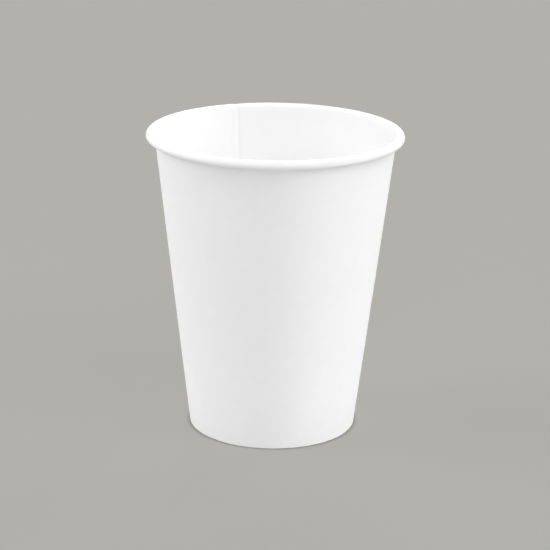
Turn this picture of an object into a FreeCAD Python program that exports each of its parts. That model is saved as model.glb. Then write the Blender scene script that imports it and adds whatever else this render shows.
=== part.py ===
# Single-wall paper cup for hot drinks. Lengths are in millimetres and angles in degrees.
#
# The cup is two pieces of coated paperboard, heat-sealed together:
#   sidewall     one fan-shaped blank, wrapped into a cone and lapped at a side seam. Its upper edge is rolled
#                outwards into the rim, and its lower edge is folded inwards and up to make the foot.
#   bottom_disc  one disc, pressed into a shallow cap whose skirt points down and is clamped in the folded foot.
#
# +Z is up and the origin is the centre of the ring that the cup stands on. +X is the cup's right, +Y its back.

import FreeCAD
import Part
import math
import os

# Overall sizes
rim_diameter = 90.0       # across the outside of the rolled rim
foot_diameter = 59.0      # across the outside of the wall, taken down to the table
cup_height = 107.0        # from the table to the top of the rim

# Paperboard
wall_board = 0.38         # thickness of the sidewall
bottom_board = 0.30       # thickness of the bottom disc
coating = 0.02            # film on each side of the skirt, left open between the two pieces

# Rolled rim
roll_diameter = 3.2       # across the outside of the roll
roll_gap = 0.06           # between the tucked part of the roll and the wall, where the seam is
tuck_turn = 150.0         # how far the roll carries on past its lowest point

# Folded foot and bottom disc
fold_radius = 0.06        # inside radius of the fold's two corners
hem_height = 6.5          # from the table to the folded-up edge inside the foot
recess_depth = 8.0        # from the table to the underside of the disc
disc_bend = 0.6           # inside radius where the disc turns down into its skirt
skirt_lift = 0.3          # between the skirt's lower edge and the floor of the fold

# Side seam
seam_azimuth = 109.0      # where the inner ply's cut edge lies, counted from +X towards +Y
seam_lap = 7.0            # how far the two plies lap, along the rim
seam_ramp = 2.6           # length along the rim in which the outer ply climbs over that cut edge
seam_step = 0.24          # height that it climbs, less than the board because the lap is pressed hot

# Sizes that follow from those above
foot_radius = foot_diameter / 2
roll_radius = roll_diameter / 2
roll_r = rim_diameter / 2 - roll_radius
roll_z = cup_height - roll_radius
pocket = bottom_board + 2 * coating
lap_turn = math.degrees(seam_lap / roll_r)
ramp_turn = math.degrees(seam_ramp / roll_r)

# The wall leans so that its inner face runs tangent into the outside of the roll
wall_run = roll_r - foot_radius
lean = math.acos((roll_radius - wall_board) / math.hypot(wall_run, roll_z)) - math.atan2(roll_z, wall_run)
outward = -math.degrees(lean)

# The tucked part of the roll turns tighter than the rest, to stay clear of the wall
wall_room = wall_board + seam_step + roll_gap
tuck_radius = roll_radius - wall_room / (1 + math.sin(lean))

ORIGIN = FreeCAD.Vector(0, 0, 0)
AXIS = FreeCAD.Vector(0, 0, 1)


def section_point(r, z):
    """A point of the section, which lies in the half-plane through +X and +Z."""
    return FreeCAD.Vector(r, 0, z)


def in_wall(depth, z):
    """The point at a height z that lies at a depth behind the wall's outer face."""
    return section_point(foot_radius + z * math.tan(lean) - depth / math.cos(lean), z)


def line(start, end):
    return Part.LineSegment(start, end).toShape()


def arc(centre, radius, start_angle, end_angle):
    """An arc of the section, whose angles count from +X towards +Z."""
    points = []
    for angle in (start_angle, (start_angle + end_angle) / 2, end_angle):
        turn = math.radians(angle)
        points.append(centre + section_point(radius * math.cos(turn), radius * math.sin(turn)))
    return Part.Arc(*points).toShape()


def sheet_face(step):
    """One face of the sidewall in section, from its folded-up edge to the end of the roll.

    step counts through the board from the side that meets the drink, which becomes the outside of the roll.
    Past the board's own thickness it belongs to the outer ply of the seam, which is pressed flat on the table.
    """
    corner = fold_radius + step
    corner_z = wall_board + fold_radius
    floor_z = max(0, wall_board - step)
    floor_angle = math.degrees(math.asin((corner_z - floor_z) / corner))
    hem_edge = in_wall(wall_board + pocket + step, hem_height)
    hem_bend = in_wall(wall_board + pocket - fold_radius, corner_z)
    wall_bend = in_wall(wall_board + fold_radius, corner_z)
    roll_centre = section_point(roll_r, roll_z)
    tuck_centre = section_point(roll_r, roll_z - roll_radius + tuck_radius)

    hem_corner = arc(hem_bend, corner, 180 + outward, 180 + floor_angle)
    wall_corner = arc(wall_bend, corner, -floor_angle, outward)
    roll = arc(roll_centre, roll_radius - step, 180 + outward, -90)
    tuck = arc(tuck_centre, tuck_radius - step, -90, -90 - tuck_turn)
    return [
        line(hem_edge, hem_corner.firstVertex().Point),
        hem_corner,
        line(hem_corner.lastVertex().Point, wall_corner.firstVertex().Point),
        wall_corner,
        line(wall_corner.lastVertex().Point, roll.firstVertex().Point),
        roll,
        tuck,
    ]


def disc_face(step):
    """One face of the bottom disc in section, from the axis to the skirt's edge.

    step counts through the board from the side that meets the drink.
    """
    bend_centre = in_wall(wall_board + coating + bottom_board + disc_bend, recess_depth - disc_bend)
    middle = section_point(0, recess_depth + bottom_board - step)
    skirt_edge = in_wall(wall_board + coating + step, wall_board + skirt_lift)
    bend = arc(bend_centre, disc_bend + bottom_board - step, 90, outward)
    return [
        line(middle, bend.firstVertex().Point),
        bend,
        line(bend.lastVertex().Point, skirt_edge),
    ]


def closed(near, far):
    """The outline between two faces of a board, closed by a straight cut at either end."""
    start_cut = line(far[0].firstVertex().Point, near[0].firstVertex().Point)
    end_cut = line(near[-1].lastVertex().Point, far[-1].lastVertex().Point)
    return Part.Wire([start_cut] + near + [end_cut] + far[::-1])


def turned(outline, azimuth, angle):
    """The solid that an outline fills when it turns about the axis from an azimuth through an angle."""
    face = Part.Face(outline)
    face.rotate(ORIGIN, AXIS, azimuth)
    return face.revolve(ORIGIN, AXIS, angle)


def make_sidewall():
    """The wrapped sheet, whose outer ply climbs a short ramp and then lies over the inner ply."""
    drink_side = sheet_face(0)
    single_ply = closed(drink_side, sheet_face(wall_board))
    raised_ply = closed(sheet_face(seam_step), sheet_face(seam_step + wall_board))
    both_plies = closed(drink_side, sheet_face(seam_step + wall_board))

    ramp_end = seam_azimuth + ramp_turn
    wrap = turned(single_ply, ramp_end, 360 - ramp_turn - lap_turn)
    lap = turned(both_plies, seam_azimuth - lap_turn, lap_turn)
    raised_ply.rotate(ORIGIN, AXIS, seam_azimuth)
    single_ply.rotate(ORIGIN, AXIS, ramp_end)
    ramp = Part.makeLoft([raised_ply, single_ply], True, True)
    return wrap.fuse([lap, ramp]).Solids[0]


def make_bottom_disc():
    """The pressed disc, whose skirt follows the lean of the wall."""
    outline = closed(disc_face(0), disc_face(bottom_board))
    return turned(outline, 0, 360)


os.makedirs("parts", exist_ok=True)
make_sidewall().exportStep("parts/sidewall.step")
make_bottom_disc().exportStep("parts/bottom_disc.step")
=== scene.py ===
import math

import bpy
import numpy as np
from mathutils import Matrix, Vector


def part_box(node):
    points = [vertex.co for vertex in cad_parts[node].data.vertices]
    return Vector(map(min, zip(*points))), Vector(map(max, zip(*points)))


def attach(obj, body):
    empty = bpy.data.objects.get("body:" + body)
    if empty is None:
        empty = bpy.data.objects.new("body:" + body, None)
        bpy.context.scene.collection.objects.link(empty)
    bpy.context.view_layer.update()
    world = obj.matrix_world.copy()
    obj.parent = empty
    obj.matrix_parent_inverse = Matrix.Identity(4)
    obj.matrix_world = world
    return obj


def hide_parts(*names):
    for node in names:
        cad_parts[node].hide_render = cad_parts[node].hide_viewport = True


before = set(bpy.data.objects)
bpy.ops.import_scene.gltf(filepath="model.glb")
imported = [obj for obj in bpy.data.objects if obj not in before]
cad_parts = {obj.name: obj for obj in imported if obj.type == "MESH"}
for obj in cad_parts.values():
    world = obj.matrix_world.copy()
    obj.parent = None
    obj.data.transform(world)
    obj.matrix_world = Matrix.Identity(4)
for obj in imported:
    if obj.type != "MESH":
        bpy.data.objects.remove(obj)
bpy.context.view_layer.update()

# The visual model of a plain white paper cup: the wrapped sheet with its rolled rim, lapped seam and folded
# foot, and the bottom disc, each as one closed mesh. Sections are worked out in millimetres, as (radius,
# height) in a plane through the axis, and become metres where a mesh is made. Azimuths count from +X towards
# +Y, and a turn counts the other way from the inner ply's cut edge, both in degrees.

MM = 0.001
IMAGE_SIDE = 550

# Sizes of the cup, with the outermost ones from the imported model
WALL_LOW, WALL_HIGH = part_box("sidewall")
_, DISC_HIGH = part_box("bottom_disc")
RIM_RADIUS = (WALL_HIGH[0] - WALL_LOW[0]) / 2 / MM
CUP_HEIGHT = WALL_HIGH[2] / MM
FOOT_RADIUS = 29.5
WALL_BOARD = 0.38
BOTTOM_BOARD = 0.30
COATING = 0.02
ROLL_RADIUS = 1.6
ROLL_GAP = 0.06
TUCK_TURN = 150.0
FOLD_RADIUS = 0.06
HEM_HEIGHT = 6.5
PANEL_TOP = DISC_HIGH[2] / MM
DISC_BEND = 0.6
SKIRT_LIFT = 0.3

# The side seam: the lap's width, the outer ply's climb, how much thicker the lap is than one ply, the inner
# ply's swelling where the lap ends and the film between the plies. The clamp crushes the inner ply's cut edge
# to the layer between two depths, over a width.
SEAM_AZIMUTH = 109.0
SEAM_LAP = 7.0
SEAM_RAMP = 2.0
SEAM_STEP = 0.24
SEAM_BLEND = 0.6
SEAM_FILM = 0.004
CRUSHED_NEAR = 0.05
CRUSHED_FAR = 0.13
CRUSHED_WIDTH = 1.6

# How far the open end is drawn inwards, as waves round the cup (order, amount, phase), and how much more the
# wall alone is on the left
OUT_OF_ROUND = ((0, 0.10, 0.0), (1, 0.05, 0.0), (2, -0.05, 0.4), (3, 0.01, 0.6))
WALL_DRAW = 0.25

# How far the roll's underside sits higher than drawn, the azimuth about which it doesn't, and the spread of
# that stretch
ROLL_TIGHTNESS = 0.25
SLACK_AZIMUTH = 268.0
SLACK_SPREAD = 30.0

# Marks of the machine: ribs of the sealing wheel in the folded-up hem, and pleats of the pressed disc, which
# grow from a radius and from a height over a short way each. PLEAT_LEAST is the shallowest pleat's share of
# the depth.
KNURL_RIBS = 120
KNURL_DEPTH = 0.09
PLEATS = 72
PLEAT_DEPTH = 0.05
PLEAT_LEAST = 0.35
PLEAT_RADIUS = 27.2
PLEAT_RADIUS_FADE = 1.0
PLEAT_HEIGHT = 6.7
PLEAT_HEIGHT_FADE = 0.7
PLEAT_SEED = 5

# What follows from these lengths: the roll's centre, the fold's room for the skirt, the wall's lean (it runs
# tangent to the roll), the radius of the roll's tucked end, the seam's widths as turns, and the thickness of
# one ply where two are pressed together
ROLL_R = RIM_RADIUS - ROLL_RADIUS
ROLL_Z = CUP_HEIGHT - ROLL_RADIUS
POCKET = BOTTOM_BOARD + 2 * COATING
LEAN = math.acos((ROLL_RADIUS - WALL_BOARD) / math.hypot(ROLL_R - FOOT_RADIUS, ROLL_Z)) - math.atan2(
    ROLL_Z, ROLL_R - FOOT_RADIUS
)
OUTWARD = -math.degrees(LEAN)
TUCK_RADIUS = ROLL_RADIUS - (WALL_BOARD + SEAM_STEP + ROLL_GAP) / (1 + math.sin(LEAN))
LAP_TURN = math.degrees(SEAM_LAP / ROLL_R)
RAMP_TURN = math.degrees(SEAM_RAMP / ROLL_R)
BLEND_TURN = math.degrees(SEAM_BLEND / ROLL_R)
CRUSHED_TURN = math.degrees(CRUSHED_WIDTH / ROLL_R)
PLY = (WALL_BOARD + SEAM_STEP) / 2

# How finely the meshes are divided, and the angle in degrees above which an edge is drawn sharp
SHEET_COLUMNS = 960
DISC_COLUMNS = 576
WALL_ROWS = 6
ROLL_ROWS = 18
TUCK_ROWS = 8
CORNER_ROWS = 4
BEND_ROWS = 8
SHARP_ANGLE = 40

# Where the sheet has further columns, as shares of the crushed edge, of the swelling and of the climb
CRUSHED_FRACTIONS = (0.0, 0.25, 0.5, 0.75, 1.0)
BLEND_FRACTIONS = (1.0, 0.5, 0.0)
RAMP_FRACTIONS = (1.0, 0.85, 0.7, 0.6, 0.5, 0.4, 0.3, 0.15)

# Where the hem's inner points lie between its edge and its fold, and those of a face that carry the ribs
HEM_FRACTIONS = (0.12, 0.16, 0.84, 0.88)
RIBBED_POINTS = slice(2, 4)

# Where the disc's inner points lie, on the panel from the axis to the bend and on the skirt
PANEL_FRACTIONS = (0.02, 0.1, 0.2, 0.3, 0.4, 0.5, 0.6, 0.7, 0.8, 0.9, 0.96)
SKIRT_FRACTIONS = (0.2, 0.4, 0.6, 0.8)

# The camera, from a fit to the photographed cup's outline, its sensor's width and its clipping distances
CAMERA_DISTANCE = 683.2
CAMERA_HEIGHT = 269.5
CAMERA_PITCH = 17.482
CAMERA_YAW = 0.040
CAMERA_ROLL = 0.792
CAMERA_FOCAL_PIXELS = 2018.9
CAMERA_SENSOR = 36.0
CAMERA_NEAR = 0.05
CAMERA_FAR = 30.0


# Small helpers for the sections


def smooth(value):
    """0 below 0, 1 above 1, and a smooth rise between."""
    x = min(1.0, max(0.0, value))
    return x * x * (3 - 2 * x)


def in_wall(depth, z):
    """The section point at a height that lies at a depth behind the wall's outer face."""
    return (FOOT_RADIUS + z * math.tan(LEAN) - depth / math.cos(LEAN), z)


def arc(centre, radius, start, end, rows):
    """Points along an arc of the section, both ends included."""
    angles = np.radians(np.linspace(start, end, rows + 1))
    return [(centre[0] + radius * math.cos(a), centre[1] + radius * math.sin(a)) for a in angles]


def line(start, end, fractions):
    """Points along a straight part of the section, without its ends."""
    return [
        (start[0] + (end[0] - start[0]) * f, start[1] + (end[1] - start[1]) * f)
        for f in fractions
    ]


# The sheet


def sheet_face(step):
    """One face of the sheet in section, from its folded-up edge to the end of the roll.

    step counts in millimetres through the board from the side that meets the drink.
    """
    corner = FOLD_RADIUS + step
    corner_z = WALL_BOARD + FOLD_RADIUS
    floor_z = max(0.0, WALL_BOARD - step)
    floor_angle = math.degrees(math.asin(min(1.0, (corner_z - floor_z) / corner)))
    hem_edge = in_wall(WALL_BOARD + POCKET + step, HEM_HEIGHT)
    hem_bend = in_wall(WALL_BOARD + POCKET - FOLD_RADIUS, corner_z)
    wall_bend = in_wall(WALL_BOARD + FOLD_RADIUS, corner_z)
    roll_centre = (ROLL_R, ROLL_Z)
    tuck_centre = (ROLL_R, ROLL_Z - ROLL_RADIUS + TUCK_RADIUS)

    hem_corner = arc(hem_bend, corner, 180 + OUTWARD, 180 + floor_angle, CORNER_ROWS)
    wall_corner = arc(wall_bend, corner, -floor_angle, OUTWARD, CORNER_ROWS)
    roll = arc(roll_centre, ROLL_RADIUS - step, 180 + OUTWARD, -90, ROLL_ROWS)
    tuck = arc(tuck_centre, TUCK_RADIUS - step, -90, -90 - TUCK_TURN, TUCK_ROWS)
    hem = line(hem_edge, hem_corner[0], HEM_FRACTIONS)
    wall = line(wall_corner[-1], roll[0], [(row + 1) / WALL_ROWS for row in range(WALL_ROWS - 1)])
    return np.array([hem_edge] + hem + hem_corner + wall_corner + wall + roll + tuck[1:])


def inner_ply(turn):
    """How deep the inner ply's two faces lie, at a turn in degrees from its crushed cut edge."""
    whole = smooth(turn / CRUSHED_TURN)
    swell = smooth((turn - LAP_TURN + BLEND_TURN) / BLEND_TURN)
    near = CRUSHED_NEAR * (1 - whole)
    far = CRUSHED_FAR + (PLY - CRUSHED_FAR) * whole + (WALL_BOARD - PLY) * swell
    return near, far


def ply_faces(turn):
    """How deep the sheet's two faces lie, at a turn in degrees from the inner ply's cut edge.

    Past the first lap it is one plain ply, until it climbs over the cut edge and lies on the inner ply.
    """
    if turn <= LAP_TURN:
        return inner_ply(turn)
    past = turn - 360
    climb = smooth((past + RAMP_TURN) / RAMP_TURN)
    near = climb * (inner_ply(max(0.0, past))[1] + SEAM_FILM)
    thickness = WALL_BOARD - (WALL_BOARD - PLY) * smooth(past / CRUSHED_TURN)
    return near, min(near + thickness, WALL_BOARD + SEAM_STEP)


def knurled(points, azimuth):
    """Presses the ribs of the sealing wheel into the folded-up hem."""
    pressed = points.copy()
    rib = 0.5 + 0.5 * math.cos(math.radians(azimuth) * KNURL_RIBS)
    pressed[RIBBED_POINTS, 0] += KNURL_DEPTH * rib
    return pressed


def wander(points, azimuth):
    """Lets the open end be a little less round than the drawing, always inwards, and its roll less even."""
    a = math.radians(azimuth)
    share = np.clip(points[:, 1] / CUP_HEIGHT, 0, 1) ** 2
    pull = max(0.0, sum(amount * math.cos(order * a - phase) for order, amount, phase in OUT_OF_ROUND))
    inner = np.clip((RIM_RADIUS - points[:, 0]) / (2 * ROLL_RADIUS), 0, 1)
    draw = WALL_DRAW * (0.5 - 0.5 * math.cos(a))
    in_roll = points[:, 0] > ROLL_R - ROLL_RADIUS
    below = np.clip((ROLL_Z - points[:, 1]) / ROLL_RADIUS, 0, 1) * in_roll
    slack = math.exp(-(((azimuth % 360 - SLACK_AZIMUTH) / SLACK_SPREAD) ** 2))
    moved = points.copy()
    moved[:, 0] -= share * (pull + inner * draw)
    moved[:, 1] += ROLL_TIGHTNESS * (1 - slack) * below
    return moved


def mesh_object(name, vertices, faces, face_kinds, materials):
    """A smooth-shaded mesh object in metres, whose faces take their materials by kind."""
    mesh = bpy.data.meshes.new(name)
    mesh.from_pydata([tuple(v) for v in vertices], [], faces)
    for material in materials:
        mesh.materials.append(material)
    mesh.polygons.foreach_set("material_index", face_kinds)
    mesh.shade_smooth()
    mesh.set_sharp_from_angle(angle=math.radians(SHARP_ANGLE))
    mesh.validate()
    obj = bpy.data.objects.new(name, mesh)
    bpy.context.scene.collection.objects.link(obj)
    return obj


# The kinds of surface, in the order of each piece's materials
COATED, BARE, CUT = 0, 1, 2


def make_sheet(materials):
    """The wrapped sheet, swept from the inner ply's cut edge once round and on over the lap."""
    base = np.linspace(0, 360 + LAP_TURN, SHEET_COLUMNS + 1)
    crushed = [CRUSHED_TURN * f for f in CRUSHED_FRACTIONS]
    blend = [LAP_TURN - BLEND_TURN * f for f in BLEND_FRACTIONS]
    ramp = [360 - RAMP_TURN * f for f in RAMP_FRACTIONS]
    extra = crushed + blend + ramp + [360 + turn for turn in crushed + blend]
    turns = np.unique(np.round(np.concatenate([base, extra]), 2))
    columns = []
    for turn in turns:
        azimuth = SEAM_AZIMUTH - turn
        near, far = ply_faces(turn)
        near_points = wander(sheet_face(near), azimuth)
        far_points = wander(knurled(sheet_face(far), azimuth), azimuth)
        ring = np.concatenate([near_points, far_points[::-1]])
        a = math.radians(azimuth)
        columns.append(
            np.column_stack([ring[:, 0] * math.cos(a), ring[:, 0] * math.sin(a), ring[:, 1]])
        )
    count = len(columns[0])
    half = count // 2
    kinds_round = [COATED] * (half - 1) + [CUT] + [BARE] * (half - 1) + [CUT]
    faces = []
    kinds = []
    for column in range(len(columns) - 1):
        here = column * count
        there = here + count
        for k in range(count):
            n = (k + 1) % count
            faces.append((here + k, there + k, there + n, here + n))
            kinds.append(kinds_round[k])
    last = (len(columns) - 1) * count
    for k in range(half - 1):
        across = count - 1 - k
        faces.append((k, k + 1, across - 1, across))
        faces.append((last + k, last + across, last + across - 1, last + k + 1))
        kinds += [CUT, CUT]
    vertices = np.concatenate(columns) * MM
    return mesh_object("wrapped_sheet", vertices, faces, kinds, materials)


# The bottom disc


def disc_face(step):
    """One face of the disc in section, from near the axis to the skirt's edge."""
    bend_centre = in_wall(
        WALL_BOARD + COATING + BOTTOM_BOARD + DISC_BEND, PANEL_TOP - BOTTOM_BOARD - DISC_BEND
    )
    skirt_edge = in_wall(WALL_BOARD + COATING + step, WALL_BOARD + SKIRT_LIFT)
    bend = arc(bend_centre, DISC_BEND + BOTTOM_BOARD - step, 90, OUTWARD, BEND_ROWS)
    middle = (0.0, PANEL_TOP - step)
    panel = line(middle, bend[0], PANEL_FRACTIONS)
    skirt = line(bend[-1], skirt_edge, SKIRT_FRACTIONS)
    return np.array(panel + bend + skirt + [skirt_edge])


def pleated(points, wave):
    """Sinks the rounded bend of one face, and the skirt just under it, by a pleat's wave."""
    out = np.clip((points[:, 0] - PLEAT_RADIUS) / PLEAT_RADIUS_FADE, 0, 1)
    up = np.clip((points[:, 1] - PLEAT_HEIGHT) / PLEAT_HEIGHT_FADE, 0, 1)
    return points - (out * up * wave)[:, None]


def make_disc(materials):
    """The pressed disc, with the faint pleats that drawing leaves round its bend."""
    near = disc_face(0.0)
    far = disc_face(BOTTOM_BOARD)
    rows = len(near)
    count = 2 * rows
    rng = np.random.default_rng(PLEAT_SEED)
    depths = PLEAT_DEPTH * rng.uniform(PLEAT_LEAST, 1.0, PLEATS)
    columns = []
    for column in range(DISC_COLUMNS):
        a = 2 * math.pi * column / DISC_COLUMNS
        depth = depths[column * PLEATS // DISC_COLUMNS]
        wave = depth * (0.5 - 0.5 * math.cos(a * PLEATS))
        ring = np.concatenate([pleated(near, wave), pleated(far, wave)[::-1]])
        columns.append(np.column_stack([ring[:, 0] * math.cos(a), ring[:, 0] * math.sin(a), ring[:, 1]]))
    faces = []
    kinds = []
    for column in range(DISC_COLUMNS):
        here = column * count
        there = (column + 1) % DISC_COLUMNS * count
        for k in range(count - 1):
            faces.append((here + k, here + k + 1, there + k + 1, there + k))
            kinds.append(COATED if k < rows - 1 else CUT if k == rows - 1 else BARE)
    top = len(columns) * count
    for column in range(DISC_COLUMNS):
        here = column * count
        there = (column + 1) % DISC_COLUMNS * count
        faces.append((top, here, there))
        faces.append((top + 1, there + count - 1, here + count - 1))
        kinds += [COATED, BARE]
    middles = np.array([(0, 0, PANEL_TOP), (0, 0, PANEL_TOP - BOTTOM_BOARD)])
    vertices = np.concatenate(columns + [middles]) * MM
    return mesh_object("pressed_disc", vertices, faces, kinds, materials)


# Materials


def node(tree, kind, location, **values):
    """Adds a shader node and sets its fields and its inputs by name."""
    made = tree.nodes.new(kind)
    made.location = location
    for key, value in values.items():
        if key in made.inputs:
            made.inputs[key].default_value = value
        else:
            setattr(made, key, value)
    return made


# The board's clouds and fibres as noise, the tone of a cloud, the noise between which it fades out, the
# gloss's swing, the fibres' relief and how far light spreads inside the board, in metres
CLOUDS = {"Scale": 260.0, "Detail": 3.0, "Roughness": 0.55}
FIBRES = {"Scale": 2600.0, "Detail": 4.0, "Roughness": 0.6}
CLOUD_TONE = 0.985
CLOUD_SPAN = (0.3, 0.7)
GLOSS_SWING = 0.05
RELIEF = {"Strength": 0.15, "Distance": 0.00003}
BLEED = 0.00015


def paper(name, colour, roughness, specular):
    """White board: cloudy formation in the tone, and fibres in the surface."""
    material = bpy.data.materials.new(name)
    material.use_nodes = True
    tree = material.node_tree
    shader = tree.nodes["Principled BSDF"]
    shader.inputs["Specular IOR Level"].default_value = specular
    shader.inputs["Subsurface Weight"].default_value = 1.0
    shader.inputs["Subsurface Radius"].default_value = (1, 1, 1)
    shader.inputs["Subsurface Scale"].default_value = BLEED
    place = node(tree, "ShaderNodeTexCoord", (-1200, 0))

    cloud = node(tree, "ShaderNodeTexNoise", (-900, 200), **CLOUDS)
    tone = node(tree, "ShaderNodeValToRGB", (-650, 200))
    for stop, position, level in zip(tone.color_ramp.elements, CLOUD_SPAN, (CLOUD_TONE, 1)):
        stop.position = position
        stop.color = [c * level for c in colour] + [1]
    tree.links.new(place.outputs["Object"], cloud.inputs["Vector"])
    tree.links.new(cloud.outputs["Fac"], tone.inputs["Fac"])
    tree.links.new(tone.outputs["Color"], shader.inputs["Base Color"])

    fibre = node(tree, "ShaderNodeTexNoise", (-900, -150), **FIBRES)
    tree.links.new(place.outputs["Object"], fibre.inputs["Vector"])
    gloss = node(tree, "ShaderNodeMapRange", (-650, -100))
    gloss.inputs["To Min"].default_value = roughness - GLOSS_SWING
    gloss.inputs["To Max"].default_value = roughness + GLOSS_SWING
    tree.links.new(fibre.outputs["Fac"], gloss.inputs["Value"])
    tree.links.new(gloss.outputs["Result"], shader.inputs["Roughness"])
    bump = node(tree, "ShaderNodeBump", (-400, -300), **RELIEF)
    tree.links.new(fibre.outputs["Fac"], bump.inputs["Height"])
    tree.links.new(bump.outputs["Normal"], shader.inputs["Normal"])
    return material


# Stage, light and camera


# The backdrop's colour, the share of the floor's that depends on the lamps, and how strongly they light it
BACKDROP = (0.443, 0.438, 0.411)
SHADOW_SHARE = 0.2
FLOOR_LEVEL = 1.12

# What the floor gives to other surfaces: the share of the lamps' light, and a light of its own
FLOOR_BOUNCE = 0.45
FLOOR_GLOW = 0.22

# The painted contact shadow under the foot, an occlusion darkening of the floor's even grey: how far it
# reaches, in metres, and how dark it gets
CONTACT_SHADOW_REACH = 0.0018
CONTACT_SHADOW_DEPTH = 0.7

# The floor's half side, and how far it lies below the foot, in metres
FLOOR_REACH = 6.0
FLOOR_DROP = 0.00002


def seen_directly(tree, location):
    """A factor that is 1 where the camera sees a surface, also in a reflection or through something clear."""
    path = node(tree, "ShaderNodeLightPath", location)
    first = node(tree, "ShaderNodeMath", (location[0] + 200, location[1]), operation="MAXIMUM")
    second = node(tree, "ShaderNodeMath", (location[0] + 400, location[1]), operation="MAXIMUM")
    tree.links.new(path.outputs["Is Camera Ray"], first.inputs[0])
    tree.links.new(path.outputs["Is Glossy Ray"], first.inputs[1])
    tree.links.new(first.outputs[0], second.inputs[0])
    tree.links.new(path.outputs["Is Transmission Ray"], second.inputs[1])
    return second.outputs[0]


def make_floor():
    """A wide floor that shows the backdrop's even grey, with part of it left to take the cup's shadow and a
    painted contact shadow darkening it under the foot.

    Its lower side is clear, so that the cup can be looked at from below.
    """
    mesh = bpy.data.meshes.new("floor")
    corners = [(FLOOR_REACH * x, FLOOR_REACH * y, 0) for x, y in ((-1, -1), (1, -1), (1, 1), (-1, 1))]
    mesh.from_pydata(corners, [], [(0, 1, 2, 3)])
    floor = bpy.data.objects.new("floor", mesh)
    floor.location.z = -FLOOR_DROP
    bpy.context.scene.collection.objects.link(floor)
    material = bpy.data.materials.new("floor")
    material.use_nodes = True
    tree = material.node_tree
    tree.nodes.clear()
    out = node(tree, "ShaderNodeOutputMaterial", (1150, 0))
    # Painted contact shadow: ambient occlusion darkens the floor's even grey where the cup's foot stands
    # close
    contact = node(tree, "ShaderNodeAmbientOcclusion", (-500, 200), Distance=CONTACT_SHADOW_REACH)
    painted_contact_shadow = node(tree, "ShaderNodeMapRange", (-250, 200))
    painted_contact_shadow.inputs["To Min"].default_value = 1 - CONTACT_SHADOW_DEPTH
    tree.links.new(contact.outputs["AO"], painted_contact_shadow.inputs["Value"])
    even = node(tree, "ShaderNodeEmission", (0, 200))
    even.inputs["Color"].default_value = [c * (1 - SHADOW_SHARE) for c in BACKDROP] + [1]
    tree.links.new(painted_contact_shadow.outputs["Result"], even.inputs["Strength"])
    lit = node(tree, "ShaderNodeBsdfDiffuse", (0, 0))
    lit.inputs["Color"].default_value = [c * SHADOW_SHARE / FLOOR_LEVEL for c in BACKDROP] + [1]
    shown = node(tree, "ShaderNodeAddShader", (250, 100))
    bounce = node(tree, "ShaderNodeBsdfDiffuse", (0, -150))
    bounce.inputs["Color"].default_value = [FLOOR_BOUNCE] * 3 + [1]
    glow = node(tree, "ShaderNodeEmission", (0, -300))
    glow.inputs["Color"].default_value = [FLOOR_GLOW] * 3 + [1]
    plain = node(tree, "ShaderNodeAddShader", (250, -150))
    tree.links.new(bounce.outputs[0], plain.inputs[0])
    tree.links.new(glow.outputs[0], plain.inputs[1])
    choose = node(tree, "ShaderNodeMixShader", (650, 0))
    tree.links.new(even.outputs[0], shown.inputs[0])
    tree.links.new(lit.outputs[0], shown.inputs[1])
    tree.links.new(seen_directly(tree, (0, 500)), choose.inputs["Fac"])
    tree.links.new(plain.outputs[0], choose.inputs[1])
    tree.links.new(shown.outputs[0], choose.inputs[2])
    side = node(tree, "ShaderNodeNewGeometry", (250, -300))
    clear = node(tree, "ShaderNodeBsdfTransparent", (650, -200))
    two_sided = node(tree, "ShaderNodeMixShader", (900, 0))
    tree.links.new(side.outputs["Backfacing"], two_sided.inputs["Fac"])
    tree.links.new(choose.outputs[0], two_sided.inputs[1])
    tree.links.new(clear.outputs[0], two_sided.inputs[2])
    tree.links.new(two_sided.outputs[0], out.inputs["Surface"])
    mesh.materials.append(material)


# Each lamp's azimuth from the camera's side round to the right, its elevation, its angle across and its
# strength. They are suns, so their distance only keeps them clear of the cup.
LAMPS = {
    "left": (-90, 25, 30, 1.10),
    "left_high": (-90, 50, 40, 0.79),
    "front": (0, 25, 30, 0.89),
    "front_right_high": (45, 50, 40, 1.48),
    "right": (90, 25, 30, 0.39),
    "right_low": (90, 5, 30, 0.65),
    "back_right": (135, 25, 30, 0.79),
    "back": (180, 25, 30, 0.93),
    "back_left_low": (-135, 5, 30, 0.59),
}
LAMP_DISTANCE = 2


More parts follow.
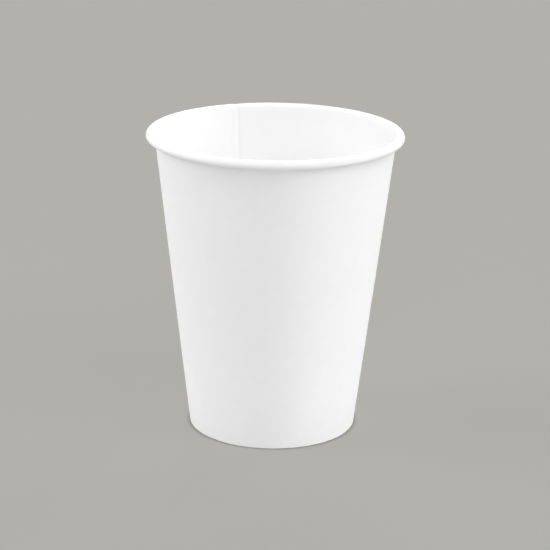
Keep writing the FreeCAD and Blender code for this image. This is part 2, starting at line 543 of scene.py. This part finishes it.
def make_light():
    """Wide soft lamps all round, and a world that shows the backdrop's colour but gives no light."""
    world = bpy.data.worlds.new("studio")
    bpy.context.scene.world = world
    world.use_nodes = True
    tree = world.node_tree
    tree.nodes.clear()
    out = node(tree, "ShaderNodeOutputWorld", (800, 0))
    dark = node(tree, "ShaderNodeBackground", (200, -100))
    dark.inputs["Color"].default_value = (0, 0, 0, 1)
    shown = node(tree, "ShaderNodeBackground", (200, 100))
    shown.inputs["Color"].default_value = list(BACKDROP) + [1]
    choose = node(tree, "ShaderNodeMixShader", (500, 0))
    tree.links.new(seen_directly(tree, (-500, 400)), choose.inputs["Fac"])
    tree.links.new(dark.outputs[0], choose.inputs[1])
    tree.links.new(shown.outputs[0], choose.inputs[2])
    tree.links.new(choose.outputs[0], out.inputs["Surface"])
    for name, (azimuth, elevation, across, strength) in LAMPS.items():
        lamp = bpy.data.lights.new(name, "SUN")
        lamp.energy = strength
        lamp.angle = math.radians(across)
        holder = bpy.data.objects.new(name, lamp)
        a, e = math.radians(azimuth), math.radians(elevation)
        towards = Vector((math.sin(a) * math.cos(e), -math.cos(a) * math.cos(e), math.sin(e)))
        holder.rotation_euler = towards.to_track_quat("Z", "Y").to_euler()
        holder.location = towards * LAMP_DISTANCE
        bpy.context.scene.collection.objects.link(holder)


def make_camera():
    """The camera on the photograph's side, turned by yaw to the right, then pitched down, then rolled."""
    pitch, yaw, roll = (math.radians(v) for v in (CAMERA_PITCH, CAMERA_YAW, CAMERA_ROLL))
    ahead = Vector(
        (math.sin(yaw) * math.cos(pitch), math.cos(yaw) * math.cos(pitch), -math.sin(pitch))
    )
    level = Vector((math.cos(yaw), -math.sin(yaw), 0))
    up = level.cross(ahead)
    right = math.cos(roll) * level + math.sin(roll) * up
    top = math.cos(roll) * up - math.sin(roll) * level
    data = bpy.data.cameras.new("camera")
    data.sensor_fit = "HORIZONTAL"
    data.sensor_width = CAMERA_SENSOR
    data.lens = CAMERA_FOCAL_PIXELS * CAMERA_SENSOR / IMAGE_SIDE
    data.clip_start = CAMERA_NEAR
    data.clip_end = CAMERA_FAR
    camera = bpy.data.objects.new("camera", data)
    matrix = Matrix((right, top, -ahead)).transposed().to_4x4()
    matrix.translation = Vector((0, -CAMERA_DISTANCE, CAMERA_HEIGHT)) * MM
    camera.matrix_world = matrix
    bpy.context.scene.collection.objects.link(camera)
    bpy.context.scene.camera = camera


# The coated board's tone is partly the coating's own whiteness and partly painted light, set whiter to
# brighten the inside of the cup beyond what the lamps give it
coated = paper("coated_board", (0.98, 0.98, 0.98), roughness=0.45, specular=0.4)
bare = paper("bare_board", (0.91, 0.91, 0.91), roughness=0.75, specular=0.3)
cut = paper("cut_board_edge", (0.88, 0.87, 0.84), roughness=0.9, specular=0.2)

sheet = make_sheet([coated, bare, cut])
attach(sheet, "root")
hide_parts("sidewall")

disc = make_disc([coated, bare, cut])
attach(disc, "root")
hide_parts("bottom_disc")

make_floor()
make_light()
make_camera()
bpy.context.scene.view_settings.view_transform = "Standard"
